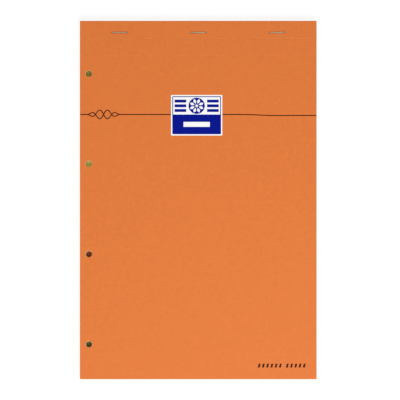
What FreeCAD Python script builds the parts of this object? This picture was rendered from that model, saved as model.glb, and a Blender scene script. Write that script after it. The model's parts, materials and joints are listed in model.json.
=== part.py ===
import FreeCAD, Part
import os
import Sketcher

# Head-stapled writing pad. It lies on its back with the front cover up:
# +X to the right edge, +Y to the stapled head, +Z up.
# The origin is the middle of the back face.

document = FreeCAD.newDocument("legal_pad")

# Driving sizes in millimetres
SIZES = {
    "pad_width": 210.0,
    "pad_length": 318.0,
    "sheet_count": 80,
    "sheet_caliper": 0.105,
    "board_thickness": 1.0,
    "card_thickness": 0.35,
    "fold_inside_radius": 0.3,
    "hinge_crease_below_head": 16.2,
    "hinge_crease_gap": 0.02,
    "second_score_below_head": 30.8,
    "score_width": 0.8,
    "score_depth": 0.08,
    "hole_diameter": 5.6,
    "hole_pitch": 80.0,
    "hole_count": 4,
    "hole_from_left_edge": 8.0,
    "hole_row_centre_above_foot": 150.9,
    "staple_pitch": 70.0,
    "staple_below_head": 10.35,
    "staple_width": 14.2,
    "wire_width": 0.8,
    "wire_thickness": 0.55,
    "wire_edge_chamfer": 0.14,
    "wire_bend_inside_radius": 0.25,
    "wire_clearance": 0.03,
    "crown_press_depth": 0.15,
    "clinch_length": 5.0,
}
STAPLES = {"staple_left": -1, "staple_middle": 0, "staple_right": 1}

sheet = document.addObject("Spreadsheet::Sheet", "sizes")
for row, (alias, value) in enumerate(SIZES.items(), start=1):
    sheet.set(f"A{row}", alias)
    sheet.set(f"B{row}", str(value))
    sheet.setAlias(f"B{row}", alias)
document.recompute()

# Sizes that follow from the driving ones, as expressions
FOOT_Y = "-sizes.pad_length / 2"
SHEETS_THICKNESS = "sizes.sheet_count * sizes.sheet_caliper"
BOARD_BOTTOM = "sizes.card_thickness"
SHEETS_BOTTOM = f"({BOARD_BOTTOM} + sizes.board_thickness)"
COVER_BOTTOM = f"({SHEETS_BOTTOM} + {SHEETS_THICKNESS})"
PAD_HEIGHT = f"({COVER_BOTTOM} + sizes.card_thickness)"
FOLD_OUTSIDE_RADIUS = "(sizes.fold_inside_radius + sizes.card_thickness)"
BLOCK_LENGTH = f"(sizes.pad_length - {FOLD_OUTSIDE_RADIUS})"
HINGE_ABOVE_FOOT = "(sizes.pad_length - sizes.hinge_crease_below_head)"
FIRST_HOLE = "(sizes.hole_row_centre_above_foot - (sizes.hole_count - 1) * sizes.hole_pitch / 2)"
HOLE_ROW = "(sizes.hole_count - 1) * sizes.hole_pitch"
STAPLE_ABOVE_FOOT = "(sizes.pad_length - sizes.staple_below_head)"
LEG_SPREAD = "(sizes.staple_width - sizes.wire_thickness)"
CLINCH_AXIS = "(sizes.wire_thickness / 2)"
CROWN_AXIS = f"({PAD_HEIGHT} - sizes.crown_press_depth + sizes.wire_thickness / 2)"
BEND_RADIUS = "(sizes.wire_bend_inside_radius + sizes.wire_thickness / 2)"


def value_of(expression):
    """The number that an expression on the sheet gives, for a first guess at a sketch."""
    return float(sheet.evalExpression(expression))


def new_body(name, raised_by):
    """A body whose own origin is at the middle of the pad's foot, at its own underside."""
    body = document.addObject("PartDesign::Body", name)
    body.Label = name
    body.setExpression("Placement.Base.y", FOOT_Y)
    body.setExpression("Placement.Base.z", raised_by)
    return body


def new_sketch(body, plane_role, name, offset=None):
    """A sketch on one of the body's own origin planes, moved along the plane's normal by offset."""
    plane = next(item for item in body.Origin.OriginFeatures if item.Role == plane_role)
    sketch = body.newObject("Sketcher::SketchObject", name)
    sketch.AttachmentSupport = [(plane, "")]
    sketch.MapMode = "FlatFace"
    if offset:
        sketch.setExpression("AttachmentOffset.Base.z", offset)
    return sketch


def dimension(sketch, kind, *places, size):
    """A dimension whose value is an expression on the sheet."""
    index = sketch.addConstraint(Sketcher.Constraint(kind, *places, value_of(size)))
    sketch.setExpression(f"Constraints[{index}]", size)


def add_polygon(sketch, start, steps):
    """A closed outline from its first corner and the steps to the next ones, all as expressions.

    A step is (across, up), and the last side closes the outline by itself.
    """
    corner = FreeCAD.Vector(value_of(start[0]), value_of(start[1]), 0)
    corners = [corner]
    for across, up in steps:
        corner = corner + FreeCAD.Vector(value_of(across), value_of(up), 0)
        corners.append(corner)
    count = len(corners)
    sides = sketch.addGeometry([Part.LineSegment(corners[i], corners[(i + 1) % count]) for i in range(count)])
    for i in range(count):
        sketch.addConstraint(Sketcher.Constraint("Coincident", sides[i], 2, sides[(i + 1) % count], 1))
    dimension(sketch, "DistanceX", -1, 1, sides[0], 1, size=start[0])
    dimension(sketch, "DistanceY", -1, 1, sides[0], 1, size=start[1])
    for side, (across, up) in zip(sides, steps):
        if up == "0":
            sketch.addConstraint(Sketcher.Constraint("Horizontal", side))
        else:
            dimension(sketch, "DistanceY", side, 1, side, 2, size=up)
        if across == "0":
            sketch.addConstraint(Sketcher.Constraint("Vertical", side))
        else:
            dimension(sketch, "DistanceX", side, 1, side, 2, size=across)


def add_rectangle(sketch, left, bottom, width, height):
    add_polygon(sketch, (left, bottom), [(width, "0"), ("0", height), (f"-({width})", "0")])


def add_chamfered_rectangle(sketch, left, bottom, width, height, chamfer):
    across, up = f"({width} - 2 * {chamfer})", f"({height} - 2 * {chamfer})"
    steps = [
        (across, "0"), (chamfer, chamfer), ("0", up), (f"-{chamfer}", chamfer),
        (f"-{across}", "0"), (f"-{chamfer}", f"-{chamfer}"), ("0", f"-{up}"),
    ]
    add_polygon(sketch, (f"{left} + {chamfer}", bottom), steps)


def add_pad(body, sketch, length, both_ways=False):
    pad = body.newObject("PartDesign::Pad", body.Name + "_pad")
    pad.Profile = sketch
    pad.setExpression("Length", length)
    if both_ways:
        pad.SideType = "Symmetric"
    body.Tip = pad
    document.recompute()


def repeat(body, feature, axis_role, length, count):
    """Copies of a cut in a row along one of the body's axes."""
    axis = next(item for item in body.Origin.OriginFeatures if item.Role == axis_role)
    row = body.newObject("PartDesign::LinearPattern", feature.Name + "_row")
    row.Originals = [feature]
    row.Direction = (axis, [""])
    row.setExpression("Length", length)
    row.setExpression("Occurrences", count)
    body.Tip = row
    document.recompute()


def add_filing_holes(body):
    """The row of round holes along the left edge, right through the piece."""
    sketch = new_sketch(body, "XY_Plane", body.Name + "_hole_sketch")
    centre_x = "-sizes.pad_width / 2 + sizes.hole_from_left_edge"
    centre = FreeCAD.Vector(value_of(centre_x), value_of(FIRST_HOLE), 0)
    radius = value_of("sizes.hole_diameter / 2")
    circle = sketch.addGeometry(Part.Circle(centre, FreeCAD.Vector(0, 0, 1), radius))
    dimension(sketch, "DistanceX", -1, 1, circle, 3, size=centre_x)
    dimension(sketch, "DistanceY", -1, 1, circle, 3, size=FIRST_HOLE)
    dimension(sketch, "Diameter", circle, size="sizes.hole_diameter")
    document.recompute()
    hole = body.newObject("PartDesign::Pocket", body.Name + "_filing_hole")
    hole.Profile = sketch
    hole.Type = "ThroughAll"
    hole.Reversed = True
    repeat(body, hole, "Y_Axis", HOLE_ROW, "sizes.hole_count")


def join_in_line(sketch, edges):
    """Each edge starts where the last one ends, in tangent where an arc is one of the two."""
    for first, second in zip(edges, edges[1:]):
        def apart(ends):
            return sketch.getPoint(first, ends[0]).distanceToPoint(sketch.getPoint(second, ends[1]))

        a, b = min([(1, 1), (1, 2), (2, 1), (2, 2)], key=apart)
        straight = all(isinstance(sketch.Geometry[edge], Part.LineSegment) for edge in (first, second))
        kind = "Coincident" if straight else "Tangent"
        sketch.addConstraint(Sketcher.Constraint(kind, first, a, second, b))


def draw_turns(sketch, corners, radius_at, closed=False):
    """Straight runs through the corners, level or upright, with an arc at each corner that has a radius.

    The runs and arcs come back as two lists of indexes, each in order.
    """
    count = len(corners)
    points = [FreeCAD.Vector(x, y, 0) for x, y in corners]
    starts, ends, bends = list(points), list(points), {}
    for i, radius in radius_at.items():
        towards = (points[i - 1] - points[i]).normalize()
        onward = (points[(i + 1) % count] - points[i]).normalize()
        ends[i] = points[i] + towards * radius
        starts[i] = points[i] + onward * radius
        centre = points[i] + (towards + onward) * radius
        middle = centre + (points[i] - centre).normalize() * radius
        bends[i] = Part.Arc(ends[i], middle, starts[i])
    runs, arcs, outline = [], [], []
    for i in range(count if closed else count - 1):
        following = (i + 1) % count
        run = sketch.addGeometry(Part.LineSegment(starts[i], ends[following]))
        level = abs(starts[i].y - ends[following].y) < abs(starts[i].x - ends[following].x)
        sketch.addConstraint(Sketcher.Constraint("Horizontal" if level else "Vertical", run))
        runs.append(run)
        outline.append(run)
        if following in bends:
            arcs.append(sketch.addGeometry(bends[following]))
            outline.append(arcs[-1])
    join_in_line(sketch, outline + outline[:1] if closed else outline)
    return runs, arcs


def draw_wire_path(sketch, middle_x, raised_by, reach):
    """The staple's centre line: a crown, two legs and two clinched tips that are turned inwards.

    Reach is how far each clinched tip comes in from its leg.
    """
    middle = value_of(middle_x)
    low = value_of(f"{CLINCH_AXIS} - {raised_by}")
    top = value_of(f"{CROWN_AXIS} - {raised_by}")
    half = value_of(f"{LEG_SPREAD} / 2")
    tip = half - value_of(reach)
    corners = [(-tip, low), (-half, low), (-half, top), (half, top), (half, low), (tip, low)]
    corners = [(middle + x, z) for x, z in corners]
    bend = value_of(BEND_RADIUS)
    runs, arcs = draw_turns(sketch, corners, {i: bend for i in (1, 2, 3, 4)})
    left_tip, left_leg, crown, right_leg, right_tip = runs
    for arc in arcs[1:]:
        sketch.addConstraint(Sketcher.Constraint("Equal", arcs[0], arc))
    dimension(sketch, "Radius", arcs[0], size=BEND_RADIUS)
    dimension(sketch, "DistanceX", -1, 1, left_leg, 1, size=f"{middle_x} - {LEG_SPREAD} / 2")
    dimension(sketch, "DistanceX", left_leg, 1, right_leg, 1, size=LEG_SPREAD)
    dimension(sketch, "DistanceX", left_leg, 1, left_tip, 1, size=reach)
    dimension(sketch, "DistanceX", right_tip, 2, right_leg, 2, size=reach)
    dimension(sketch, "DistanceY", -1, 1, left_tip, 1, size=f"{CLINCH_AXIS} - {raised_by}")
    dimension(sketch, "DistanceY", -1, 1, right_tip, 2, size=f"{CLINCH_AXIS} - {raised_by}")
    dimension(sketch, "DistanceY", -1, 1, crown, 1, size=f"{CROWN_AXIS} - {raised_by}")


def sweep_wire(body, kind, raised_by, growth="0", middle_x="0", ahead="0"):
    """A flattened wire along the staple's path, added to the body or taken from it.

    Growth makes it larger all round, for the way that the wire has pressed for itself. Such
    a way has square edges.
    """
    reach = f"(sizes.clinch_length + {growth})"
    path = new_sketch(body, "XZ_Plane", body.Name + "_wire_path", f"-({ahead})")
    draw_wire_path(path, middle_x, raised_by, reach)
    tip_x = f"{middle_x} - {LEG_SPREAD} / 2 + {reach}"
    section = new_sketch(body, "YZ_Plane", body.Name + "_wire_section", tip_x)
    width = f"(sizes.wire_width + 2 * {growth})"
    thickness = f"(sizes.wire_thickness + 2 * {growth})"
    place = (f"{ahead} - {width} / 2", f"{CLINCH_AXIS} - {raised_by} - {thickness} / 2")
    if kind == "PartDesign::AdditivePipe":
        add_chamfered_rectangle(section, *place, width, thickness, "sizes.wire_edge_chamfer")
    else:
        add_rectangle(section, *place, width, thickness)
    document.recompute()
    wire = body.newObject(kind, body.Name + "_wire")
    wire.Profile = section
    wire.Spine = path
    body.Tip = wire
    document.recompute()
    return wire


def add_staple_channels(body, raised_by):
    """The way that each staple's wire has pressed for itself through the piece."""
    place = {"middle_x": "-sizes.staple_pitch", "ahead": STAPLE_ABOVE_FOOT}
    channel = sweep_wire(body, "PartDesign::SubtractivePipe", raised_by, "sizes.wire_clearance", **place)
    repeat(body, channel, "X_Axis", "2 * sizes.staple_pitch", str(len(STAPLES)))


def make_layer(name, bottom, thickness, length):
    """A flat layer of the pad, flush with the foot and with both side edges."""
    body = new_body(name, bottom)
    outline = new_sketch(body, "XY_Plane", name + "_outline")
    add_rectangle(outline, "-sizes.pad_width / 2", "0", "sizes.pad_width", length)
    document.recompute()
    add_pad(body, outline, thickness)
    add_filing_holes(body)
    return body


def make_front_cover():
    """The flap of card that opens at the hinge crease, with a second score pressed across it."""
    length = f"({HINGE_ABOVE_FOOT} - sizes.hinge_crease_gap)"
    body = make_layer("front_cover", COVER_BOTTOM, "sizes.card_thickness", length)
    score_sketch = new_sketch(body, "XY_Plane", "second_score_sketch", "sizes.card_thickness")
    lower_edge = "sizes.pad_length - sizes.second_score_below_head - sizes.score_width / 2"
    add_rectangle(score_sketch, "-sizes.pad_width / 2", lower_edge, "sizes.pad_width", "sizes.score_width")
    document.recompute()
    score = body.newObject("PartDesign::Pocket", "second_score")
    score.Profile = score_sketch
    score.setExpression("Length", "sizes.score_depth")
    body.Tip = score
    return body


def make_cover_wrap():
    """One folded card: the stapled strip on top, the fold round the head, and the back panel."""
    body = new_body("cover_wrap", "0")
    card, inside = value_of("sizes.card_thickness"), value_of("sizes.fold_inside_radius")
    outside = card + inside
    long, high = value_of("sizes.pad_length"), value_of(PAD_HEIGHT)
    strip_edge = value_of(HINGE_ABOVE_FOOT)
    section = new_sketch(body, "YZ_Plane", "cover_wrap_section")
    corners = [
        (0, 0), (long, 0), (long, high), (strip_edge, high),
        (strip_edge, high - card), (long - card, high - card), (long - card, card), (0, card),
    ]
    runs, arcs = draw_turns(section, corners, {1: outside, 2: outside, 5: inside, 6: inside}, closed=True)
    back_outside, head_outside, strip_outside, strip_end = runs[:4]
    head_inside, foot_end = runs[5], runs[7]
    section.addConstraint(Sketcher.Constraint("Coincident", back_outside, 1, -1, 1))
    dimension(section, "DistanceX", -1, 1, strip_end, 1, size=HINGE_ABOVE_FOOT)
    dimension(section, "DistanceX", -1, 1, head_outside, 1, size="sizes.pad_length")
    dimension(section, "DistanceY", -1, 1, strip_outside, 1, size=PAD_HEIGHT)
    dimension(section, "DistanceY", foot_end, 2, foot_end, 1, size="sizes.card_thickness")
    dimension(section, "DistanceY", strip_end, 2, strip_end, 1, size="sizes.card_thickness")
    dimension(section, "DistanceX", head_inside, 1, head_outside, 1, size="sizes.card_thickness")
    for arc, radius in zip(arcs, [FOLD_OUTSIDE_RADIUS] * 2 + ["sizes.fold_inside_radius"] * 2):
        dimension(section, "Radius", arc, size=radius)
    document.recompute()
    add_pad(body, section, "sizes.pad_width", both_ways=True)
    add_filing_holes(body)
    add_staple_channels(body, "0")
    return body


def make_staple(name, place):
    """A staple bent from flattened wire: crown on the strip, legs through the pad, tips clinched."""
    body = new_body(name, "0")
    body.setExpression("Placement.Base.x", f"{place} * sizes.staple_pitch")
    body.setExpression("Placement.Base.y", f"{FOOT_Y} + {STAPLE_ABOVE_FOOT}")
    sweep_wire(body, "PartDesign::AdditivePipe", "0")
    return body


def make_all():
    pieces = [make_front_cover(), make_cover_wrap()]
    sheets = make_layer("ruled_sheets", SHEETS_BOTTOM, SHEETS_THICKNESS, BLOCK_LENGTH)
    add_staple_channels(sheets, SHEETS_BOTTOM)
    board = make_layer("back_board", BOARD_BOTTOM, "sizes.board_thickness", BLOCK_LENGTH)
    add_staple_channels(board, BOARD_BOTTOM)
    pieces += [sheets, board]
    pieces += [make_staple(name, place) for name, place in STAPLES.items()]
    return pieces


def check(pieces):
    document.recompute()
    for item in document.Objects:
        bad = [state for state in item.State if state in ("Invalid", "Error")]
        if bad:
            raise RuntimeError(f"{item.Name} did not compute: {bad}")
    for piece in pieces:
        shape = piece.Shape
        if shape.isNull() or not shape.isValid() or len(shape.Solids) != 1:
            raise RuntimeError(f"{piece.Label} is not one valid solid")


def export(pieces):
    os.makedirs("parts", exist_ok=True)
    for piece in pieces:
        piece.Shape.exportStep(f"parts/{piece.Label}.step")
        print(f"{piece.Label}: {piece.Shape.Volume:.3f} mm3")


pad_pieces = make_all()
check(pad_pieces)
export(pad_pieces)
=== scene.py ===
import json
import math
import random

import bmesh
import bpy
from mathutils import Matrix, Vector
from mathutils.geometry import delaunay_2d_cdt


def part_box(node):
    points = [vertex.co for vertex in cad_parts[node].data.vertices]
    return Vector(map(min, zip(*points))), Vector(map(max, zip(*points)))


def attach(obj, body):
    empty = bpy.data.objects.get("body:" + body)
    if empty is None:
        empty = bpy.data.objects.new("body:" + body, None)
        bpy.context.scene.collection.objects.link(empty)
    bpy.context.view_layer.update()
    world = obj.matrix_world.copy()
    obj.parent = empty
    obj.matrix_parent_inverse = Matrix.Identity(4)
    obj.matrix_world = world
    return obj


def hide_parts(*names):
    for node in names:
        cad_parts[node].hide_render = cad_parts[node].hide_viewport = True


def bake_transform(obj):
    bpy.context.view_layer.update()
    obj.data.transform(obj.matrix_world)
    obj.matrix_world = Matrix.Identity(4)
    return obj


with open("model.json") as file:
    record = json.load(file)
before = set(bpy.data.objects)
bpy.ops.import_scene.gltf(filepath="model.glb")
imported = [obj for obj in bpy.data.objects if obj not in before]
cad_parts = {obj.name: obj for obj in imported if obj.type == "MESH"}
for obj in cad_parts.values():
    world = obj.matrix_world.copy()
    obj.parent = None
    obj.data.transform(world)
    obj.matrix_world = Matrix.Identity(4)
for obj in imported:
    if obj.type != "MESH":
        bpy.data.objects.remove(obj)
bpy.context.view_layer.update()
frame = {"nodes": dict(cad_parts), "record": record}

# The part is in millimetres until its meshes are made. The stage further down is in metres.
MM = 0.001


def in_mm(corner):
    return Vector(corner) / MM


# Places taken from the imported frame
FLAP_LOW, FLAP_HIGH = (in_mm(corner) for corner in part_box("front_cover"))
WRAP_LOW, WRAP_HIGH = (in_mm(corner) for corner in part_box("cover_wrap"))
SHEETS_LOW, SHEETS_HIGH = (in_mm(corner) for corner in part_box("ruled_sheets"))
HINGE = in_mm(frame["record"]["behaviour"]["joints"][0]["pos_m"])
BORES = [mount for mount in frame["record"]["mounts"] if mount["kind"] == "bore"]
HOLES = [in_mm(mount["pos_m"]) for mount in BORES]
HOLE_RADIUS = BORES[0]["dims"]["r_mm"]
HEAD_Y = WRAP_HIGH.y
RIGHT_X = FLAP_HIGH.x

# Card
CARD = FLAP_HIGH.z - FLAP_LOW.z
FOLD_INSIDE = 0.3
FOLD_OUTSIDE = FOLD_INSIDE + CARD
FOLD_MIDDLE = FOLD_INSIDE + CARD / 2
BEND_REACH = 1.5
CARD_SPECULAR = 0.1
CARD_MOTTLE = 0.042
INK_SPECULAR = 0.03
SECOND_SCORE_Y = HEAD_Y - 30.8
SCORE_WIDTH = 0.8
SCORE_DEPTH = 0.08
# Each crease is lightened along a band: partly worn coat, partly a painted highlight on its ridge
CREASE_LIGHTENING_WIDTH = 1.0
CREASE_LIGHTENING_FADE = 0.5
HINGE_WEAR_AND_HIGHLIGHT = 0.03
SECOND_SCORE_WEAR_AND_HIGHLIGHT = 0.024
HOLE_STEPS = 48
LIP_RADIUS = HOLE_RADIUS + 0.2
LIP_WIDTH = 0.35
LIP_HEIGHT = 0.07
# A pale ring round each hole, partly bare core and partly a painted highlight, shifted towards the lit
# side
BARE_RIM = 0.22
RIM_HIGHLIGHT_SHIFT = (-0.11, 0.13)

# Where a card's mesh has rows of points: shares of the bend's reach, of the score's width
# and of a fold, with one row just outside the score and each fold for the smooth shading
GRID_STEP = 9.0
BEND_ROWS = (0.06, 0.13, 0.2, 0.3, 0.4, 0.5, 0.6, 0.7, 0.82, 1.0)
WHOLE_SCORE_ROWS = (-0.5, -0.3, -0.15, 0, 0.15, 0.3, 0.5)
HALF_SCORE_ROWS = (0.15, 0.3, 0.5, 0.6)
FOLD_STEPS = 6
FOLD_ROWS = [step / FOLD_STEPS for step in (-0.5, 0, 1, 2, 3, 4, 5, 6, 6.5)]
POINTS_MERGE_WITHIN = 1e-5

# Print on the cover
LINE_WIDTH = 0.9
LINE_LEFT_Y = 75.9
LINE_RIGHT_Y = 75.0
LINE_DROPS_FROM_X = 38.0
LINE_DROPS_OVER = 30.0
TWIST_LEFT_X = -98.5
TWIST_LENGTH = 29.0
TWIST_HEIGHT = 8.4
TWIST_LOBES = 4
TWIST_TAPER = 1.1
MARK_ROWS = ((52.8, 6), (77.8, 5))
MARKS_LOW_Y = -148.7
MARK_SIZE = (1.75, 3.5)
MARK_STEP = 3.75
MARK_SLANT = 0.8

# Label: sizes, then shares of its frame, of its band and of the rosette's radius
LABEL_CENTRE = (-1.4, 75.2)
LABEL_SIZE = (45.5, 36.0)
LABEL_BORDER = 1.15
LABEL_CORNER = 0.7
KEYLINE_WIDTH = 0.75
BAND_OF_FRAME = 0.52
NAME_BAR_OF_FRAME = 0.54
NAME_BAR_OF_BAND = 0.25
ROSETTE_OF_FIELD = 0.445
ROSETTE_EYE = 0.17
ROSETTE_PETALS = 8
PETAL_NEAR, PETAL_FAR, PETAL_WIDTH = 0.26, 0.88, 0.34
PETAL_BELLY = 1.25
BAR_LENGTH_OF_FRAME = 0.24
BAR_HEIGHT = 0.36
BAR_STEP = 0.58

# Sheets
SHEET_COUNT = 80
SHEET_AIR = 0.012
TRIM_PLAY = 0.045
TRIM_SEED = 11
SHEET_HOLE_STEPS = 32
# How dark painted shade makes the walls of the holes, and how far beyond them it reaches
HOLE_WALL_PAINTED_SHADE = 0.4
HOLE_WALL_MARGIN = 0.5
RULE_STEP = 8.0
RULE_HALF_WIDTH = 0.12
RULE_STRENGTH = 0.75
FIRST_RULE_BELOW_PERFORATION = 24.0
PERFORATION_BELOW_HEAD = 21.0
CUT_STEP = 1.3
CUT_SHARE = 0.62
CUT_WIDTH = 0.3
CUT_SHADE_STRENGTH = 0.55
MARGIN_FROM_LEFT = 32.0
MARGIN_WIDTH = 0.35
MARGIN_STRENGTH = 0.7

# Staples
STAPLES = ("staple_left", "staple_middle", "staple_right")
WIRE_WIDTH = 0.8
WIRE_THICKNESS = 0.55
WIRE_INSIDE_RADIUS = 0.25
WIRE_CLEARANCE = 0.03
WIRE_SIDES = 20
WIRE_BEND_STEPS = 8
WIRE_ROUNDNESS = 0.6
CLINCH_LENGTH = 5.0
DENT_DEPTH = 0.18
DENT_REACH = 0.7
DENT_ROWS = (0.1, 0.4, 0.7, 1.0, 1.15)
# How much painted shade darkens the card beside each crown, in its dent
DENT_PAINTED_SHADE = 0.32

# Edges that are sharper than this many degrees aren't shaded smooth
CARD_SMOOTH_BELOW = 40
WIRE_SMOOTH_BELOW = 50

# Colours as seen, from 0 to 255
ORANGE = (226, 123, 59)
WORN_AND_LIT_ORANGE = (255, 200, 140)
INK_BROWN = (66, 28, 18)
LABEL_WHITE = (254, 254, 255)
LABEL_BLUE = (6, 22, 142)
CARD_CORE = (236, 205, 160)
BARE_CARD_AND_HIGHLIGHT = (230, 188, 132)
CARD_INSIDE = (222, 208, 184)
PAPER_YELLOW = (252, 239, 146)
PAPER_EDGE = (255, 237, 148)
RULE_BLUE = (130, 160, 190)
MARGIN_RED = (214, 110, 100)
CUT_PAINTED_SHADE = (120, 100, 50)
BOARD_GREY = (170, 161, 147)
STEEL = (147, 139, 120)


def linear(colour):
    """A seen colour, 0 to 255, as the shader's linear one."""
    parts = [part / 255 for part in colour]
    return [p / 12.92 if p <= 0.04045 else ((p + 0.055) / 1.055) ** 2.4 for p in parts] + [1.0]


def grey(level):
    """A grey of a linear level, as a shader's colour."""
    return [level, level, level, 1.0]


class Shader:
    """A material's node tree with short calls for the nodes used here."""

    def __init__(self, name, rest_attribute=False):
        self.material = bpy.data.materials.new(name)
        self.material.use_nodes = True
        self.nodes = self.material.node_tree.nodes
        self.links = self.material.node_tree.links
        self.surface = self.nodes["Principled BSDF"]
        self.place = self._place(rest_attribute)

    def _place(self, rest_attribute):
        """Where on the resting part a point is, in millimetres."""
        if rest_attribute:
            return self.attribute("rest_mm", "Vector")
        source = self.nodes.new("ShaderNodeTexCoord")
        scaled = self.nodes.new("ShaderNodeVectorMath")
        scaled.operation = "SCALE"
        scaled.inputs["Scale"].default_value = 1 / MM
        self.links.new(source.outputs["Object"], scaled.inputs[0])
        return scaled.outputs["Vector"]

    def attribute(self, name, kind):
        node = self.nodes.new("ShaderNodeAttribute")
        node.attribute_name = name
        return node.outputs[kind]

    def set(self, **values):
        for name, value in values.items():
            self.surface.inputs[name.replace("_", " ")].default_value = value

    def feed(self, socket, value):
        """A socket's input, which is another socket or a constant."""
        if isinstance(value, bpy.types.NodeSocket):
            self.links.new(value, socket)
        else:
            socket.default_value = value

    def colour(self, value):
        self.feed(self.surface.inputs["Base Color"], value)

    def axis(self, name):
        node = self.nodes.new("ShaderNodeSeparateXYZ")
        self.links.new(self.place, node.inputs["Vector"])
        return node.outputs[name]

    def stretched(self, scale):
        node = self.nodes.new("ShaderNodeVectorMath")
        node.operation = "MULTIPLY"
        self.links.new(self.place, node.inputs[0])
        node.inputs[1].default_value = scale
        return node.outputs["Vector"]

    def reach(self):
        """How far a point is from the origin."""
        node = self.nodes.new("ShaderNodeVectorMath")
        node.operation = "LENGTH"
        self.links.new(self.place, node.inputs[0])
        return node.outputs["Value"]

    def math(self, operation, first, second=0.0, third=0.0):
        node = self.nodes.new("ShaderNodeMath")
        node.operation = operation
        for socket, value in zip(node.inputs, (first, second, third)):
            self.feed(socket, value)
        return node.outputs["Value"]

    def product(self, first, second):
        return self.math("MULTIPLY", first, second)

    def spread(self, value, low, high, to_low=0.0, to_high=1.0):
        """A value between low and high, moved to lie between two other ones."""
        node = self.nodes.new("ShaderNodeMapRange")
        for name, part in (("Value", value), ("From Min", low), ("From Max", high),
                           ("To Min", to_low), ("To Max", to_high)):
            self.feed(node.inputs[name], part)
        return node.outputs["Result"]

    def band(self, value, middle, width, soft=0.1):
        """1 within the band about middle, falling to 0 over soft millimetres at each side."""
        off = self.math("ABSOLUTE", self.math("SUBTRACT", value, middle))
        return self.spread(off, width / 2 - soft / 2, width / 2 + soft / 2, 1.0, 0.0)

    def noise(self, per_mm, detail=3.0, roughness=0.55, stretch=None):
        node = self.nodes.new("ShaderNodeTexNoise")
        node.inputs["Scale"].default_value = per_mm
        node.inputs["Detail"].default_value = detail
        node.inputs["Roughness"].default_value = roughness
        self.links.new(self.stretched(stretch) if stretch else self.place, node.inputs["Vector"])
        return node.outputs["Fac"]

    def tone(self, noise, low, high, half=0.2):
        """The part of a noise that is within half of its middle, moved to lie between low and high."""
        return self.spread(noise, 0.5 - half, 0.5 + half, low, high)

    def mix(self, factor, first, second, blend="MIX"):
        node = self.nodes.new("ShaderNodeMix")
        node.data_type = "RGBA"
        node.blend_type = blend
        self.feed(node.inputs["Factor"], factor)
        # The colour sockets share their names with the node's other ones, so they go by number
        self.feed(node.inputs[6], first)
        self.feed(node.inputs[7], second)
        return node.outputs[2]

    def brighten(self, colour, amount):
        """The colour times a grey amount that is a socket."""
        level = self.nodes.new("ShaderNodeCombineColor")
        for channel in ("Red", "Green", "Blue"):
            self.links.new(amount, level.inputs[channel])
        return self.mix(1.0, colour, level.outputs["Color"], "MULTIPLY")

    def bump(self, height, distance_mm, strength):
        node = self.nodes.new("ShaderNodeBump")
        node.inputs["Strength"].default_value = strength
        node.inputs["Distance"].default_value = distance_mm * MM
        self.links.new(height, node.inputs["Height"])
        self.links.new(node.outputs["Normal"], self.surface.inputs["Normal"])


def seen_rays(tree):
    """1 for the rays that the camera sees, also by way of metal or glass, and 0 for the others."""
    light_path = tree.nodes.new("ShaderNodeLightPath")
    seen = light_path.outputs["Is Camera Ray"]
    for kind in ("Is Glossy Ray", "Is Transmission Ray"):
        either = tree.nodes.new("ShaderNodeMath")
        either.operation = "MAXIMUM"
        tree.links.new(seen, either.inputs[0])
        tree.links.new(light_path.outputs[kind], either.inputs[1])
        seen = either.outputs["Value"]
    return seen


def card_material(name, colour, roughness=0.5, mottle=CARD_MOTTLE, specular=CARD_SPECULAR,
                  on_flap=False, creases=False, dents=False):
    """Coated or printed card: faint cloudy mottling, fine fibres under the coat, a low sheen."""
    shader = Shader(name, on_flap)
    clouds = shader.noise(per_mm=0.35, detail=4.0, roughness=0.6)
    fibres = shader.noise(per_mm=2.6, detail=2.0, roughness=0.6, stretch=(1.0, 0.45, 1.0))
    finish = shader.brighten(linear(colour), shader.product(
        shader.tone(clouds, 1 - mottle, 1 + mottle),
        shader.tone(fibres, 1 - mottle, 1 + mottle, half=0.25)))
    if creases:
        # Worn coat and painted highlight: each crease is lightened along a band
        for crease_y, share in ((HINGE.y, HINGE_WEAR_AND_HIGHLIGHT), (SECOND_SCORE_Y, SECOND_SCORE_WEAR_AND_HIGHLIGHT)):
            crease = shader.band(shader.axis("Y"), crease_y, CREASE_LIGHTENING_WIDTH, CREASE_LIGHTENING_FADE)
            finish = shader.mix(shader.product(crease, share), finish, linear(WORN_AND_LIT_ORANGE))
    if dents:
        # Painted shade: the card is darkened beside each staple's crown, where shade falls into its dent
        dent_shade_tone = shader.spread(shader.attribute("dent", "Fac"), 0, 1, 1, 1 - DENT_PAINTED_SHADE)
        finish = shader.brighten(finish, dent_shade_tone)
    shader.colour(finish)
    shader.set(Roughness=roughness, Specular_IOR_Level=specular)
    grain = shader.noise(per_mm=1.6, detail=3.0, roughness=0.6)
    waves = shader.noise(per_mm=0.06, detail=2.0)
    height = shader.math("ADD", grain, shader.product(waves, 2.0))
    shader.bump(height, distance_mm=0.02, strength=0.35)
    return shader.material


def cut_edge_material(name, colour):
    """The cut edge of card or board: fibres drawn out along the edge."""
    shader = Shader(name)
    fibres = shader.noise(per_mm=1.2, detail=4.0, roughness=0.7, stretch=(1.0, 1.0, 9.0))
    shader.colour(shader.brighten(linear(colour), shader.tone(fibres, 0.86, 1.08)))
    shader.set(Roughness=0.85)
    shader.bump(fibres, distance_mm=0.05, strength=0.5)
    return shader.material


def board_material():
    """Grey board from pulped paper: flecks, and plies that show at its edges."""
    shader = Shader("grey_board")
    flecks = shader.noise(per_mm=1.8, detail=5.0, roughness=0.75)
    plies = shader.noise(per_mm=1.0, detail=3.0, roughness=0.6, stretch=(0.5, 0.5, 7.0))
    tone = shader.product(shader.tone(flecks, 0.86, 1.1), shader.tone(plies, 0.9, 1.08))
    shader.colour(shader.brighten(linear(BOARD_GREY), tone))
    shader.set(Roughness=0.9)
    shader.bump(flecks, distance_mm=0.06, strength=0.5)
    return shader.material


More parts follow.
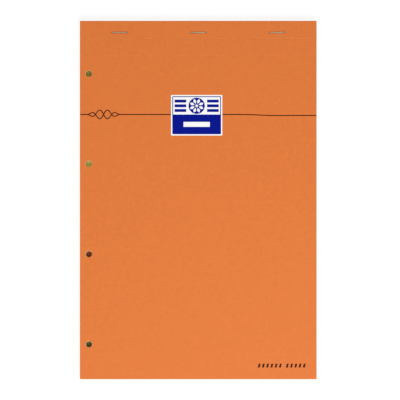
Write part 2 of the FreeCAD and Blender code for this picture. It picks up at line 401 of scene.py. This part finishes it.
def page_material():
    """The top sheet: feint rules, a margin line and the perforation's row of cuts, drawn as dashes of
    painted shade with a bump.
    """
    shader = Shader("ruled_page")
    x, y = shader.axis("X"), shader.axis("Y")
    perforation_y = HEAD_Y - PERFORATION_BELOW_HEAD
    first_rule = perforation_y - FIRST_RULE_BELOW_PERFORATION
    rule_reach = 2 * RULE_HALF_WIDTH
    clouds = shader.noise(per_mm=1.2, detail=4.0, roughness=0.6)
    paper = shader.brighten(linear(PAPER_YELLOW), shader.tone(clouds, 0.975, 1.02))

    below = shader.math("SUBTRACT", first_rule + RULE_STEP / 2, y)
    phase = shader.math("FRACT", shader.math("DIVIDE", below, RULE_STEP))
    off_rule = shader.product(shader.math("ABSOLUTE", shader.math("SUBTRACT", phase, 0.5)), RULE_STEP)
    rule = shader.product(shader.spread(off_rule, RULE_HALF_WIDTH, rule_reach, 1.0, 0.0),
                          shader.math("LESS_THAN", y, first_rule + rule_reach))
    page = shader.mix(shader.product(rule, RULE_STRENGTH), paper, linear(RULE_BLUE))

    margin = shader.product(shader.band(x, -RIGHT_X + MARGIN_FROM_LEFT, MARGIN_WIDTH),
                            shader.math("LESS_THAN", y, perforation_y))
    page = shader.mix(shader.product(margin, MARGIN_STRENGTH), page, linear(MARGIN_RED))

    # Painted shade: each cut of the perforation is darkened where shade falls into the slit
    dash = shader.math("LESS_THAN", shader.math("FRACT", shader.math("DIVIDE", x, CUT_STEP)), CUT_SHARE)
    cut = shader.product(shader.band(y, perforation_y, CUT_WIDTH), dash)
    shader.colour(shader.mix(shader.product(cut, CUT_SHADE_STRENGTH), page, linear(CUT_PAINTED_SHADE)))
    shader.set(Roughness=0.8)
    grain = shader.noise(per_mm=3.0, detail=3.0, roughness=0.6)
    shader.bump(shader.math("SUBTRACT", grain, shader.product(cut, 2.0)), distance_mm=0.02, strength=0.4)
    return shader.material


def paper_edge_material():
    """The edges of the sheets: each layer a little lighter or darker, streaked along the edge.

    The walls of the drilled holes are darkened with painted shade. They are told from the outer edges by
    their place.
    """
    shader = Shader("sheet_edges")
    streaks = shader.noise(per_mm=1.0, detail=3.0, roughness=0.7, stretch=(0.12, 0.12, 9.5))
    tone = shader.tone(streaks, 0.84, 1.06)
    wall_size = 2 * (HOLE_RADIUS + HOLE_WALL_MARGIN)
    for hole in HOLES:
        shaded_wall = shader.product(shader.band(shader.axis("X"), hole.x, wall_size),
                              shader.band(shader.axis("Y"), hole.y, wall_size))
        tone = shader.product(tone, shader.spread(shaded_wall, 0, 1, 1, HOLE_WALL_PAINTED_SHADE))
    shader.colour(shader.brighten(linear(PAPER_EDGE), tone))
    shader.set(Roughness=0.85)
    shader.bump(streaks, distance_mm=0.03, strength=0.4)
    return shader.material


def wire_material():
    """Drawn steel wire: fine scratches along it and small changes of gloss."""
    shader = Shader("staple_steel")
    drawn = shader.noise(per_mm=2.0, detail=4.0, roughness=0.7, stretch=(0.4, 9.0, 9.0))
    shader.colour(shader.brighten(linear(STEEL), shader.tone(drawn, 0.8, 1.08)))
    shader.set(Metallic=1.0)
    shader.feed(shader.surface.inputs["Roughness"], shader.tone(shader.noise(per_mm=1.5), 0.26, 0.42))
    shader.bump(drawn, distance_mm=0.01, strength=0.3)
    return shader.material


def make_object(name, build, materials, smooth=False):
    """An object from a function that fills a bmesh in millimetres."""
    work = bmesh.new()
    build(work)
    bmesh.ops.recalc_face_normals(work, faces=work.faces)
    bmesh.ops.scale(work, vec=(MM, MM, MM), verts=work.verts)
    mesh = bpy.data.meshes.new(name)
    work.to_mesh(mesh)
    work.free()
    for material in materials:
        mesh.materials.append(material)
    for polygon in mesh.polygons:
        polygon.use_smooth = smooth
    piece = bpy.data.objects.new(name, mesh)
    bpy.context.scene.collection.objects.link(piece)
    return piece


def circle(centre, radius, steps=HOLE_STEPS):
    turns = [2 * math.pi / steps * step for step in range(steps)]
    return [(centre[0] + radius * math.cos(turn), centre[1] + radius * math.sin(turn)) for turn in turns]


def rectangle(centre, size):
    (x, y), (wide, high) = centre, size
    return [(x - wide / 2, y - high / 2), (x + wide / 2, y - high / 2),
            (x + wide / 2, y + high / 2), (x - wide / 2, y + high / 2)]


def rounded_rectangle(centre, size, radius, steps=5):
    """A rectangle whose corners are quarter circles."""
    points = []
    for corner, (x, y) in enumerate(rectangle(centre, size)):
        middle = (x + math.copysign(radius, centre[0] - x), y + math.copysign(radius, centre[1] - y))
        for step in range(steps + 1):
            turn = math.radians(180 + 90 * corner + 90 * step / steps)
            points.append((middle[0] + radius * math.cos(turn), middle[1] + radius * math.sin(turn)))
    return points


def contains(loop, point):
    """Whether a point is inside a closed loop."""
    x, y = point
    inside = False
    for (x0, y0), (x1, y1) in zip(loop, loop[1:] + loop[:1]):
        if (y0 > y) != (y1 > y) and x < x0 + (y - y0) * (x1 - x0) / (y1 - y0):
            inside = not inside
    return inside


def clamped(share):
    return max(0.0, min(1.0, share))


def eased(share):
    """A share from 0 to 1 that starts and ends slowly."""
    return share * share * (3 - 2 * share)


def distance_to_line(line, point):
    """The shortest way from a point to a chain of straight stretches."""
    p = Vector(point)
    best = math.inf
    for start, end in zip(line, line[1:]):
        a, along = Vector(start), Vector(end) - Vector(start)
        share = clamped((p - a).dot(along) / along.length_squared)
        best = min(best, (a + along * share - p).length)
    return best


def direction_at(path, number):
    """Which way a chain of points runs at one of them."""
    return (path[min(number + 1, len(path) - 1)] - path[max(number - 1, 0)]).normalized()


def ribbon(line, width, end_steps=6):
    """The closed outline of a stroke of even width with round ends."""
    points = [Vector(point) for point in line]
    left, right = [], []
    for i, point in enumerate(points):
        along = direction_at(points, i)
        side = Vector((-along.y, along.x)) * width / 2
        left.append(tuple(point + side))
        right.append(tuple(point - side))

    def cap(point, neighbour):
        out = (points[point] - points[neighbour]).normalized() * width / 2
        across = Vector((-out.y, out.x))
        turns = [math.pi * step / end_steps for step in range(1, end_steps)]
        return [tuple(points[point] + out * math.sin(turn) + across * math.cos(turn)) for turn in turns]

    return left + cap(-1, -2) + right[::-1] + cap(0, 1)


class Print:
    """A field of ink: its outline, and a test for what lies in it."""

    def __init__(self, material, loop, holds):
        self.material = material
        self.loop = loop
        self.holds = holds


def area(material, loop):
    return Print(material, loop, lambda point: contains(loop, point))


def stroke(material, line, width):
    return Print(material, ribbon(line, width), lambda point: distance_to_line(line, point) <= width / 2)


def drift(x):
    """The height of the printed line, which eases down towards the right edge."""
    share = clamped((x - LINE_DROPS_FROM_X) / LINE_DROPS_OVER)
    return LINE_LEFT_Y + (LINE_RIGHT_Y - LINE_LEFT_Y) * eased(share)


def twist(side, steps=72):
    """One of the two strands that cross and swell and draw together again along the line."""
    strand = []
    for step in range(steps + 1):
        share = step / steps
        swell = math.sin(math.pi * share) ** TWIST_TAPER
        lift = side * TWIST_HEIGHT / 2 * swell * math.sin(math.pi * TWIST_LOBES * share)
        strand.append((TWIST_LEFT_X + share * TWIST_LENGTH, LINE_LEFT_Y + lift))
    return strand


def line_prints(steps=28):
    """A thin line across the cover, which parts into a plain two-strand twist near its left end."""
    label_left = LABEL_CENTRE[0] - LABEL_SIZE[0] / 2
    label_right = LABEL_CENTRE[0] + LABEL_SIZE[0] / 2
    right = [label_right + (RIGHT_X - label_right) * step / steps for step in range(steps + 1)]
    lines = [
        [(-RIGHT_X, LINE_LEFT_Y), (TWIST_LEFT_X, LINE_LEFT_Y)],
        twist(1),
        twist(-1),
        [(TWIST_LEFT_X + TWIST_LENGTH, LINE_LEFT_Y), (label_left, LINE_LEFT_Y)],
        [(x, drift(x)) for x in right],
    ]
    return [stroke("ink", line, LINE_WIDTH) for line in lines]


def petal(centre, turn, near, far, width, steps=8):
    """A pointed leaf that lies along a radius."""
    along = (math.cos(turn), math.sin(turn))
    sides = ([], [])
    for step in range(steps + 1):
        share = step / steps
        reach = near + (far - near) * share
        swell = width / 2 * math.sin(math.pi * share ** PETAL_BELLY)
        for side, points in zip((1, -1), sides):
            points.append((centre[0] + along[0] * reach - side * along[1] * swell,
                           centre[1] + along[1] * reach + side * along[0] * swell))
    return sides[0] + sides[1][-2:0:-1]


def label_prints():
    """A plain label: a framed field with a rosette between bars, over a band with a bare name bar."""
    x, y = LABEL_CENTRE
    frame_wide, frame_high = (side - 2 * LABEL_BORDER for side in LABEL_SIZE)
    field_wide = frame_wide - 2 * KEYLINE_WIDTH
    field_top = y + frame_high / 2 - KEYLINE_WIDTH
    low = y - frame_high / 2
    band_high = BAND_OF_FRAME * frame_high
    field_low = low + band_high
    middle = (x, (field_low + field_top) / 2)
    radius = ROSETTE_OF_FIELD * (frame_high - band_high)
    name_bar = (NAME_BAR_OF_FRAME * frame_wide, NAME_BAR_OF_BAND * band_high)
    prints = [
        area("white", rounded_rectangle(LABEL_CENTRE, LABEL_SIZE, LABEL_CORNER)),
        area("blue", rounded_rectangle(LABEL_CENTRE, (frame_wide, frame_high), LABEL_CORNER)),
        area("white", rectangle(middle, (field_wide, field_top - field_low))),
        area("white", rectangle((x, low + band_high / 2), name_bar)),
        area("blue", circle(middle, radius, steps=56)),
        area("white", circle(middle, ROSETTE_EYE * radius, steps=20)),
    ]
    for number in range(ROSETTE_PETALS):
        turn = 2 * math.pi * (number + 0.5) / ROSETTE_PETALS
        leaf = petal(middle, turn, PETAL_NEAR * radius, PETAL_FAR * radius, PETAL_WIDTH * radius)
        prints.append(area("white", leaf))
    for place in (-1, 0, 1):
        for side in (-1, 1):
            centre = (x + side * (radius + frame_wide / 2) / 2, middle[1] + place * BAR_STEP * radius)
            bar = rectangle(centre, (BAR_LENGTH_OF_FRAME * frame_wide, BAR_HEIGHT * radius))
            prints.append(area("blue", bar))
    return prints


def mark_prints():
    """Two short rows of slanted bars near the lower right corner."""
    prints = []
    wide, high = MARK_SIZE
    low, top = MARKS_LOW_Y, MARKS_LOW_Y + high
    for left_x, count in MARK_ROWS:
        for number in range(count):
            x = left_x + number * MARK_STEP
            corners = [(x, low), (x + wide, low), (x + wide + MARK_SLANT, top), (x + MARK_SLANT, top)]
            prints.append(area("ink", corners))
    return prints


def rim_prints():
    """The bare card at the lip of each hole, shifted to be widest towards the head and the left: partly
    bare core, partly a painted highlight on the lit side.
    """
    rims = []
    for hole in HOLES:
        centre = (hole.x + RIM_HIGHLIGHT_SHIFT[0], hole.y + RIM_HIGHLIGHT_SHIFT[1])
        rims.append(area("core", circle(centre, HOLE_RADIUS + BARE_RIM)))
    return rims


def scored(y):
    """How far the card's face is pressed down along its hinge crease and its second score."""
    depth = 0.0
    for crease_y in (HINGE.y, SECOND_SCORE_Y):
        off = abs(y - crease_y) / (SCORE_WIDTH / 2)
        depth += SCORE_DEPTH * max(0.0, 1 - off * off)
    return depth


def lip(x, y):
    """How far the card stands up round a drilled hole."""
    height = 0.0
    for hole in HOLES:
        off = (math.hypot(x - hole.x, y - hole.y) - LIP_RADIUS) / LIP_WIDTH
        height += LIP_HEIGHT * max(0.0, 1 - off * off)
    return height


def crown_box(node):
    """The middle and the half sizes of a staple's crown, from above."""
    low, high = (in_mm(corner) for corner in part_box(node))
    return (low + high) / 2, (high.x - low.x) / 2, (high.y - low.y) / 2


def leg_ways(node):
    """The slots that a staple's two legs pass through, as the middle of each and their size."""
    middle, half_long, _ = crown_box(node)
    size = (WIRE_THICKNESS + 2 * WIRE_CLEARANCE, WIRE_WIDTH + 2 * WIRE_CLEARANCE)
    reach = half_long - WIRE_THICKNESS / 2
    return [(middle.x - reach, middle.y), (middle.x + reach, middle.y)], size


def dented(x, y):
    """How far the crowns have pressed the strip down, which eases off around each of them."""
    depth = 0.0
    for node in STAPLES:
        middle, half_long, half_wide = crown_box(node)
        off = math.hypot(max(0.0, abs(x - middle.x) - half_long), max(0.0, abs(y - middle.y) - half_wide))
        depth = max(depth, DENT_DEPTH * eased(max(0.0, 1 - off / DENT_REACH)))
    return depth


def middle_of(points, triangle):
    corners = [points[i] for i in triangle]
    return (sum(c.x for c in corners) / 3, sum(c.y for c in corners) / 3)


def triangulate(low, high, loops, rows=(), step=None):
    """Points and triangles of a rectangle, with loops and level rows as edges and a loose grid of points.

    What a loop holds beyond the rectangle is left off.
    """
    points, edges = [], []

    def add_loop(loop):
        start = len(points)
        points.extend(Vector(point) for point in loop)
        edges.extend((start + i, start + (i + 1) % len(loop)) for i in range(len(loop)))

    add_loop([(low.x, low.y), (high.x, low.y), (high.x, high.y), (low.x, high.y)])
    for loop in loops:
        add_loop(loop)
    for y in rows:
        points.extend((Vector((low.x, y)), Vector((high.x, y))))
        edges.append((len(points) - 2, len(points) - 1))
    if step:
        wide, long = high.x - low.x, high.y - low.y
        across, along = int(wide / step), int(long / step)
        for i in range(1, across):
            for j in range(1, along):
                points.append(Vector((low.x + i * wide / across, low.y + j * long / along)))
    points, _, triangles, *_ = delaunay_2d_cdt(points, edges, [], 0, POINTS_MERGE_WITHIN)
    middles = [middle_of(points, triangle) for triangle in triangles]
    kept = [low.x < x < high.x and low.y < y < high.y for x, y in middles]
    return points, [triangle for triangle, keep in zip(triangles, kept) if keep]


def outer_edges(triangles):
    """The directed edges that only one triangle has."""
    edges = {(t[i], t[(i + 1) % 3]) for t in triangles for i in range(3)}
    return [edge for edge in edges if (edge[1], edge[0]) not in edges]


def without_holes(points, triangles, hole_loops):
    """The triangles that lie in none of the holes."""
    return [
        triangle for triangle in triangles
        if not any(contains(loop, middle_of(points, triangle)) for loop in hole_loops)
    ]


def fill_slab(work, points, triangles, outside, inside, faces, outside_of=None):
    """A closed slab over the triangles.

    Outside and inside give the place of a flat point on either face. Faces are the material
    numbers of the outside, the inside and the edges. Outside_of gives an outer triangle its own.
    """
    used = sorted({i for triangle in triangles for i in triangle})
    outer = {i: work.verts.new(outside(points[i].x, points[i].y)) for i in used}
    inner = {i: work.verts.new(inside(points[i].x, points[i].y)) for i in used}
    for triangle in triangles:
        a, b, c = triangle
        upper = work.faces.new((outer[a], outer[b], outer[c]))
        upper.material_index = outside_of(triangle) if outside_of else faces[0]
        work.faces.new((inner[c], inner[b], inner[a])).material_index = faces[1]
    for a, b in outer_edges(triangles):
        work.faces.new((outer[b], outer[a], inner[a], inner[b])).material_index = faces[2]


def keep_rest_places(piece):
    """Each point's resting place in millimetres, so that the finish follows the card when it bends."""
    mesh = piece.data
    places = mesh.attributes.new("rest_mm", "FLOAT_VECTOR", "POINT")
    for point, vertex in zip(places.data, mesh.vertices):
        point.vector = vertex.co / MM


def keep_dents(piece):
    """How far each point of the strip is pressed down, as a share, so that the card is darkened there
    with painted shade.
    """
    mesh = piece.data
    dents = mesh.attributes.new("dent", "FLOAT", "POINT")
    for point, vertex in zip(dents.data, mesh.vertices):
        x, y, z = vertex.co / MM
        point.value = dented(x, y) / DENT_DEPTH if z > WRAP_HIGH.z / 2 else 0.0


def make_front_cover():
    """The opening flap: one card with its holes, its scores and all its print as fields of its face."""
    inks = ["card", "ink", "white", "blue", "core"]
    prints = line_prints() + label_prints() + mark_prints() + rim_prints()
    hole_loops = [circle(hole, HOLE_RADIUS) for hole in HOLES]
    lip_loops = [circle(hole, LIP_RADIUS + LIP_WIDTH * share) for hole in HOLES for share in (0, 0.5, 1)]
    loops = hole_loops + lip_loops + [field.loop for field in prints]
    rows = [FLAP_HIGH.y - BEND_REACH * share for share in BEND_ROWS]
    rows += [SECOND_SCORE_Y + SCORE_WIDTH * share for share in WHOLE_SCORE_ROWS]
    points, triangles = triangulate(FLAP_LOW, FLAP_HIGH, loops, rows, GRID_STEP)
    triangles = without_holes(points, triangles, hole_loops)

    def ink_of(triangle):
        place = middle_of(points, triangle)
        for field in reversed(prints):
            if field.holds(place):
                return inks.index(field.material)
        return 0

    def outside(x, y):
        return (x, y, FLAP_HIGH.z - scored(y) + lip(x, y))

    def inside(x, y):
        return (x, y, FLAP_LOW.z)

    def build(work):
        fill_slab(work, points, triangles, outside, inside, (0, len(inks), len(inks) + 1), ink_of)

    materials = [
        card_material("cover_card", ORANGE, on_flap=True, creases=True),
        card_material("ink_brown", INK_BROWN, roughness=0.45, mottle=0.05, specular=INK_SPECULAR,
                      on_flap=True),
        card_material("label_white", LABEL_WHITE, roughness=0.42, mottle=0.008, on_flap=True),
        card_material("label_blue", LABEL_BLUE, roughness=0.4, mottle=0.05, specular=INK_SPECULAR,
                      on_flap=True),
        card_material("card_bare_and_highlight", BARE_CARD_AND_HIGHLIGHT, roughness=0.8, mottle=0.05, on_flap=True),
        card_material("card_inside", CARD_INSIDE, roughness=0.75, mottle=0.02, on_flap=True),
        cut_edge_material("card_edge", CARD_CORE),
    ]
    piece = make_object("front_cover_card", build, materials)
    keep_rest_places(piece)
    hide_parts("front_cover")
    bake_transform(piece)
    return piece


def wrap_runs():
    """How long each run of the wrap is, from the hinge crease: strip, bend, head, bend, back."""
    bend = math.pi / 2 * FOLD_MIDDLE
    edge_y = HEAD_Y - FOLD_OUTSIDE
    return (edge_y - HINGE.y, bend, WRAP_HIGH.z - 2 * FOLD_OUTSIDE, bend, edge_y - WRAP_LOW.y)


def along_wrap(way):
    """The place of the card's middle and its outward direction, both as y and z, a way along the wrap."""
    strip, bend, head, _, _ = wrap_runs()
    edge_y, top_z = HEAD_Y - FOLD_OUTSIDE, WRAP_HIGH.z - FOLD_OUTSIDE
    if way <= strip:
        return Vector((HINGE.y + way, WRAP_HIGH.z - CARD / 2)), Vector((0, 1))
    way -= strip
    if way <= bend:
        turn = way / FOLD_MIDDLE
        out = Vector((math.sin(turn), math.cos(turn)))
        return Vector((edge_y, top_z)) + out * FOLD_MIDDLE, out
    way -= bend
    if way <= head:
        return Vector((edge_y + FOLD_MIDDLE, top_z - way)), Vector((1, 0))
    way -= head
    if way <= bend:
        turn = way / FOLD_MIDDLE
        out = Vector((math.cos(turn), -math.sin(turn)))
        return Vector((edge_y, FOLD_OUTSIDE)) + out * FOLD_MIDDLE, out
    way -= bend
    return Vector((edge_y - way, CARD / 2)), Vector((0, -1))


def staple_loops(node, back_start):
    """A staple's slots and the rings of its dent, on the wrap laid out flat."""
    middle, half_long, half_wide = crown_box(node)
    strip_way = middle.y - HINGE.y
    back_way = back_start + HEAD_Y - FOLD_OUTSIDE - middle.y
    legs, leg_size = leg_ways(node)
    clinch_outer = half_long + WIRE_CLEARANCE
    clinch_inner = half_long - WIRE_THICKNESS / 2 - CLINCH_LENGTH - WIRE_CLEARANCE
    clinch_size = (clinch_outer - clinch_inner, leg_size[1])
    slots, rings = [], []
    for (leg_x, _), side in zip(legs, (-1, 1)):
        clinch_x = middle.x + side * (clinch_inner + clinch_outer) / 2
        slots.append(rectangle((leg_x, strip_way), leg_size))
        slots.append(rectangle((clinch_x, back_way), clinch_size))
    for share in DENT_ROWS:
        grown = share * DENT_REACH
        size = (2 * (half_long + grown), 2 * (half_wide + grown))
        rings.append(rounded_rectangle((middle.x, strip_way), size, grown))
    return slots, rings


def make_cover_wrap():
    """The rest of the card, laid out flat and then folded: strip with its dents, head, back panel."""
    runs = wrap_runs()
    back_start = sum(runs[:4])
    edge_y = HEAD_Y - FOLD_OUTSIDE
    low, high = Vector((WRAP_LOW.x, 0.0)), Vector((WRAP_HIGH.x, sum(runs)))
    hole_loops = [circle((hole.x, back_start + edge_y - hole.y), HOLE_RADIUS) for hole in HOLES]
    dent_loops = []
    for node in STAPLES:
        slots, rings = staple_loops(node, back_start)
        hole_loops += slots
        dent_loops += rings
    rows = [start + runs[1] * share for start in (runs[0], sum(runs[:3])) for share in FOLD_ROWS]
    rows += [SCORE_WIDTH * share for share in HALF_SCORE_ROWS]
    points, triangles = triangulate(low, high, hole_loops + dent_loops, rows, GRID_STEP)
    triangles = without_holes(points, triangles, hole_loops)

    def outside(x, way):
        place, out = along_wrap(way)
        if way <= runs[0]:
            place = place - out * (scored(place.x) + dented(x, place.x))
        place = place + out * CARD / 2
        return (x, place.x, place.y)

    def inside(x, way):
        place, out = along_wrap(way)
        place = place - out * CARD / 2
        return (x, place.x, place.y)

    def build(work):
        fill_slab(work, points, triangles, outside, inside, (0, 1, 2))

    materials = [
        card_material("wrap_card", ORANGE, creases=True, dents=True),
        card_material("wrap_inside", CARD_INSIDE, roughness=0.75, mottle=0.02),
        cut_edge_material("wrap_edge", CARD_CORE),
    ]
    piece = make_object("cover_wrap_card", build, materials, smooth=True)
    piece.data.set_sharp_from_angle(angle=math.radians(CARD_SMOOTH_BELOW))
    keep_dents(piece)
    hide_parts("cover_wrap")
    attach(piece, "pad")
    return piece


def make_sheets():
    """The block of separate sheets, each trimmed a hair off the next, with the holes drilled through."""
    chance = random.Random(TRIM_SEED)
    hole_loops = [circle(hole, HOLE_RADIUS, SHEET_HOLE_STEPS) for hole in HOLES]
    for node in STAPLES:
        legs, leg_size = leg_ways(node)
        hole_loops += [rectangle(leg, leg_size) for leg in legs]
    low = Vector((SHEETS_LOW.x + TRIM_PLAY, SHEETS_LOW.y + TRIM_PLAY))
    high = Vector((SHEETS_HIGH.x - TRIM_PLAY, SHEETS_HIGH.y - TRIM_PLAY))
    points, triangles = triangulate(low, high, hole_loops)
    triangles = without_holes(points, triangles, hole_loops)
    pitch = (SHEETS_HIGH.z - SHEETS_LOW.z) / SHEET_COUNT

    def build(work):
        for number in range(SHEET_COUNT):
            bottom = SHEETS_LOW.z + number * pitch
            shift_x, shift_y = (chance.uniform(-TRIM_PLAY, TRIM_PLAY) for _ in "xy")

            def outside(x, y):
                return (x + shift_x, y + shift_y, bottom + pitch - SHEET_AIR / 2)

            def inside(x, y):
                return (x + shift_x, y + shift_y, bottom + SHEET_AIR / 2)

            top_face = 1 if number == SHEET_COUNT - 1 else 0
            fill_slab(work, points, triangles, outside, inside, (top_face, 0, 0))

    piece = make_object("ruled_sheet_block", build, [paper_edge_material(), page_material()])
    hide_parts("ruled_sheets")
    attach(piece, "pad")
    return piece


def wire_line(half, low, high, radius, reach):
    """The wire's centre line in its own plane, from one clinched tip round to the other."""
    corners = [(-half, low, 180), (-half, high, 90), (half, high, 0), (half, low, -90)]
    line = [(reach - half, low)]
    for x, z, ahead in corners:
        centre = (x - math.copysign(radius, x), z + (radius if z == low else -radius))
        for step in range(WIRE_BEND_STEPS + 1):
            turn = math.radians(ahead + 90 - 90 * step / WIRE_BEND_STEPS)
            line.append((centre[0] + radius * math.cos(turn), centre[1] + radius * math.sin(turn)))
    return line + [(half - reach, low)]


def wire_section():
    """The outline across the flattened wire: an oblong with rounded edges, as lift and side."""
    section = []
    for step in range(WIRE_SIDES):
        turn = 2 * math.pi * step / WIRE_SIDES
        c, s = math.cos(turn), math.sin(turn)
        section.append((math.copysign(abs(c) ** WIRE_ROUNDNESS, c) * WIRE_THICKNESS / 2,
                        math.copysign(abs(s) ** WIRE_ROUNDNESS, s) * WIRE_WIDTH / 2))
    return section


def make_staple(node, material):
    """Flattened wire with rounded edges along the staple's path, its tips cut off square."""
    low, high = (in_mm(corner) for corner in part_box(node))
    centre = (low + high) / 2
    half = (high.x - low.x - WIRE_THICKNESS) / 2
    line = wire_line(half, low.z + WIRE_THICKNESS / 2, high.z - WIRE_THICKNESS / 2,
                     WIRE_INSIDE_RADIUS + WIRE_THICKNESS / 2, CLINCH_LENGTH)
    path = [Vector(point) for point in line]
    section = wire_section()

    def build(work):
        rings = []
        for i, point in enumerate(path):
            along = direction_at(path, i)
            out = Vector((-along.y, along.x))
            ring = []
            for lift, side in section:
                place = point + out * lift
                ring.append(work.verts.new((centre.x + place.x, centre.y + side, place.y)))
            rings.append(ring)
        for ring, following in zip(rings, rings[1:]):
            for i in range(len(ring)):
                j = (i + 1) % len(ring)
                work.faces.new((ring[i], ring[j], following[j], following[i]))
        work.faces.new(rings[0])
        work.faces.new(rings[-1])

    piece = make_object(node + "_wire", build, [material], smooth=True)
    piece.data.set_sharp_from_angle(angle=math.radians(WIRE_SMOOTH_BELOW))
    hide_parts(node)
    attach(piece, "pad")
    return piece


def dress_board():
    """The board keeps its own solid, with a finished surface."""
    slots = frame["nodes"]["back_board"].data.materials
    slots.clear()
    slots.append(board_material())


# The stage, in metres
FLOOR_SIZE = 30.0
FLOOR_DROP = 0.00005
CAMERA_HEIGHT = 2.0
CAMERA_X = 0.00156
CAMERA_SEES_TO = 20.0
FRAME_PIXELS = 400
PIXELS_PER_M = 1127.0
SENSOR_MM = 36.0

# The floor's shader, which reads its places in millimetres
FLOOR_WHITE = 0.82
SEEN_SHARE = 0.24
CAMERA_GLOW = 0.845
GLOW_FULL_BEYOND = (300.0, 900.0)
UNDER_PAD_INSET = 1.0
UNDER_HOLE_BAND = 20.0
# What shows through each filing hole, from the head down: the floor's colour and its glow, which paint
# the light and shade seen down that hole
UNDER_HOLES_PAINTED_LIGHT = (
    ((252, 248, 190), (92, 79, 8)),
    ((252, 252, 200), (130, 117, 38)),
    ((219, 118, 120), (74, 32, 14)),
    ((170, 170, 130), (54, 42, 8)),
)

# Light: the world's share for what the camera doesn't see, then each lamp's place, size and watts
WORLD_LIGHT = 0.4
LAMPS = {
    "window": ((-1.6, 1.8, 3.2), 1.0, 23.3),
    "softbox": ((0.2, -0.5, 1.0), 0.6, 7.45),
}


def floor_material():
    """A pale floor that looks white to the camera, apart from the pad's shadow on it.

    Further off it is plain white to the horizon. Under the pad the filing holes alone show it,
    each in its own colour with a painted glow for the light and shade down it, paler at the two upper
    ones.
    """
    shader = Shader("floor_white")
    shader.set(Roughness=0.9, Specular_IOR_Level=0.0)
    seen = seen_rays(shader.material.node_tree)
    off_x, off_y = (shader.math("ABSOLUTE", shader.axis(name)) for name in "XY")
    beside = shader.math("GREATER_THAN", off_x, RIGHT_X - UNDER_PAD_INSET)
    beyond = shader.math("GREATER_THAN", off_y, HEAD_Y - UNDER_PAD_INSET)
    outside = shader.math("MAXIMUM", beside, beyond)
    under, under_painted_glow = grey(0), grey(0)
    # Painted light and shade: each hole's patch of floor gets its own colour and glow
    for hole, (colour, painted_glow) in zip(HOLES, UNDER_HOLES_PAINTED_LIGHT):
        here = shader.band(shader.axis("Y"), hole.y, UNDER_HOLE_BAND)
        under = shader.mix(here, under, linear(colour))
        under_painted_glow = shader.mix(here, under_painted_glow, linear(painted_glow))
    far = shader.spread(shader.reach(), *GLOW_FULL_BEYOND)
    seen_pale = shader.mix(far, grey(FLOOR_WHITE * SEEN_SHARE), grey(0))
    glow = shader.mix(far, grey(CAMERA_GLOW), grey(1))
    shader.colour(shader.mix(outside, under, shader.mix(seen, grey(FLOOR_WHITE), seen_pale)))
    shader.feed(shader.surface.inputs["Emission Color"], shader.mix(outside, under_painted_glow, glow))
    shader.feed(shader.surface.inputs["Emission Strength"], seen)
    return shader.material


def make_floor():
    bpy.ops.mesh.primitive_plane_add(size=FLOOR_SIZE, location=(0, 0, -FLOOR_DROP))
    floor = bpy.context.object
    floor.name = "floor"
    floor.data.materials.append(floor_material())


def make_lamp(name, place, size, watts):
    """A square lamp that faces the pad and isn't seen itself."""
    data = bpy.data.lights.new(name, "AREA")
    data.shape = "SQUARE"
    data.size = size
    data.energy = watts
    lamp = bpy.data.objects.new(name, data)
    lamp.location = place
    lamp.rotation_euler = (-Vector(place)).to_track_quat("-Z", "Y").to_euler()
    lamp.visible_camera = False
    bpy.context.scene.collection.objects.link(lamp)


def make_light():
    """A world that is white to the camera and dimmer as a light, and the lamps."""
    world = bpy.data.worlds.new("studio")
    world.use_nodes = True
    tree = world.node_tree
    background = tree.nodes["Background"]
    background.inputs["Color"].default_value = (1, 1, 1, 1)
    strength = tree.nodes.new("ShaderNodeMapRange")
    strength.inputs["To Min"].default_value = WORLD_LIGHT
    tree.links.new(seen_rays(tree), strength.inputs["Value"])
    tree.links.new(strength.outputs["Result"], background.inputs["Strength"])
    bpy.context.scene.world = world
    for name, (place, size, watts) in LAMPS.items():
        make_lamp(name, place, size, watts)


def make_camera():
    """Straight down on the cover, from far enough away that no side shows."""
    data = bpy.data.cameras.new("camera")
    data.sensor_width = SENSOR_MM
    data.lens = SENSOR_MM * (CAMERA_HEIGHT - FLAP_HIGH.z * MM) / (FRAME_PIXELS / PIXELS_PER_M)
    data.clip_end = CAMERA_SEES_TO
    camera = bpy.data.objects.new("camera", data)
    camera.location = (CAMERA_X, 0, CAMERA_HEIGHT)
    bpy.context.scene.collection.objects.link(camera)
    bpy.context.scene.camera = camera


make_front_cover()
make_cover_wrap()
make_sheets()
steel = wire_material()
for staple in STAPLES:
    make_staple(staple, steel)
dress_board()
make_floor()
make_light()
make_camera()
bpy.context.scene.view_settings.view_transform = "Standard"
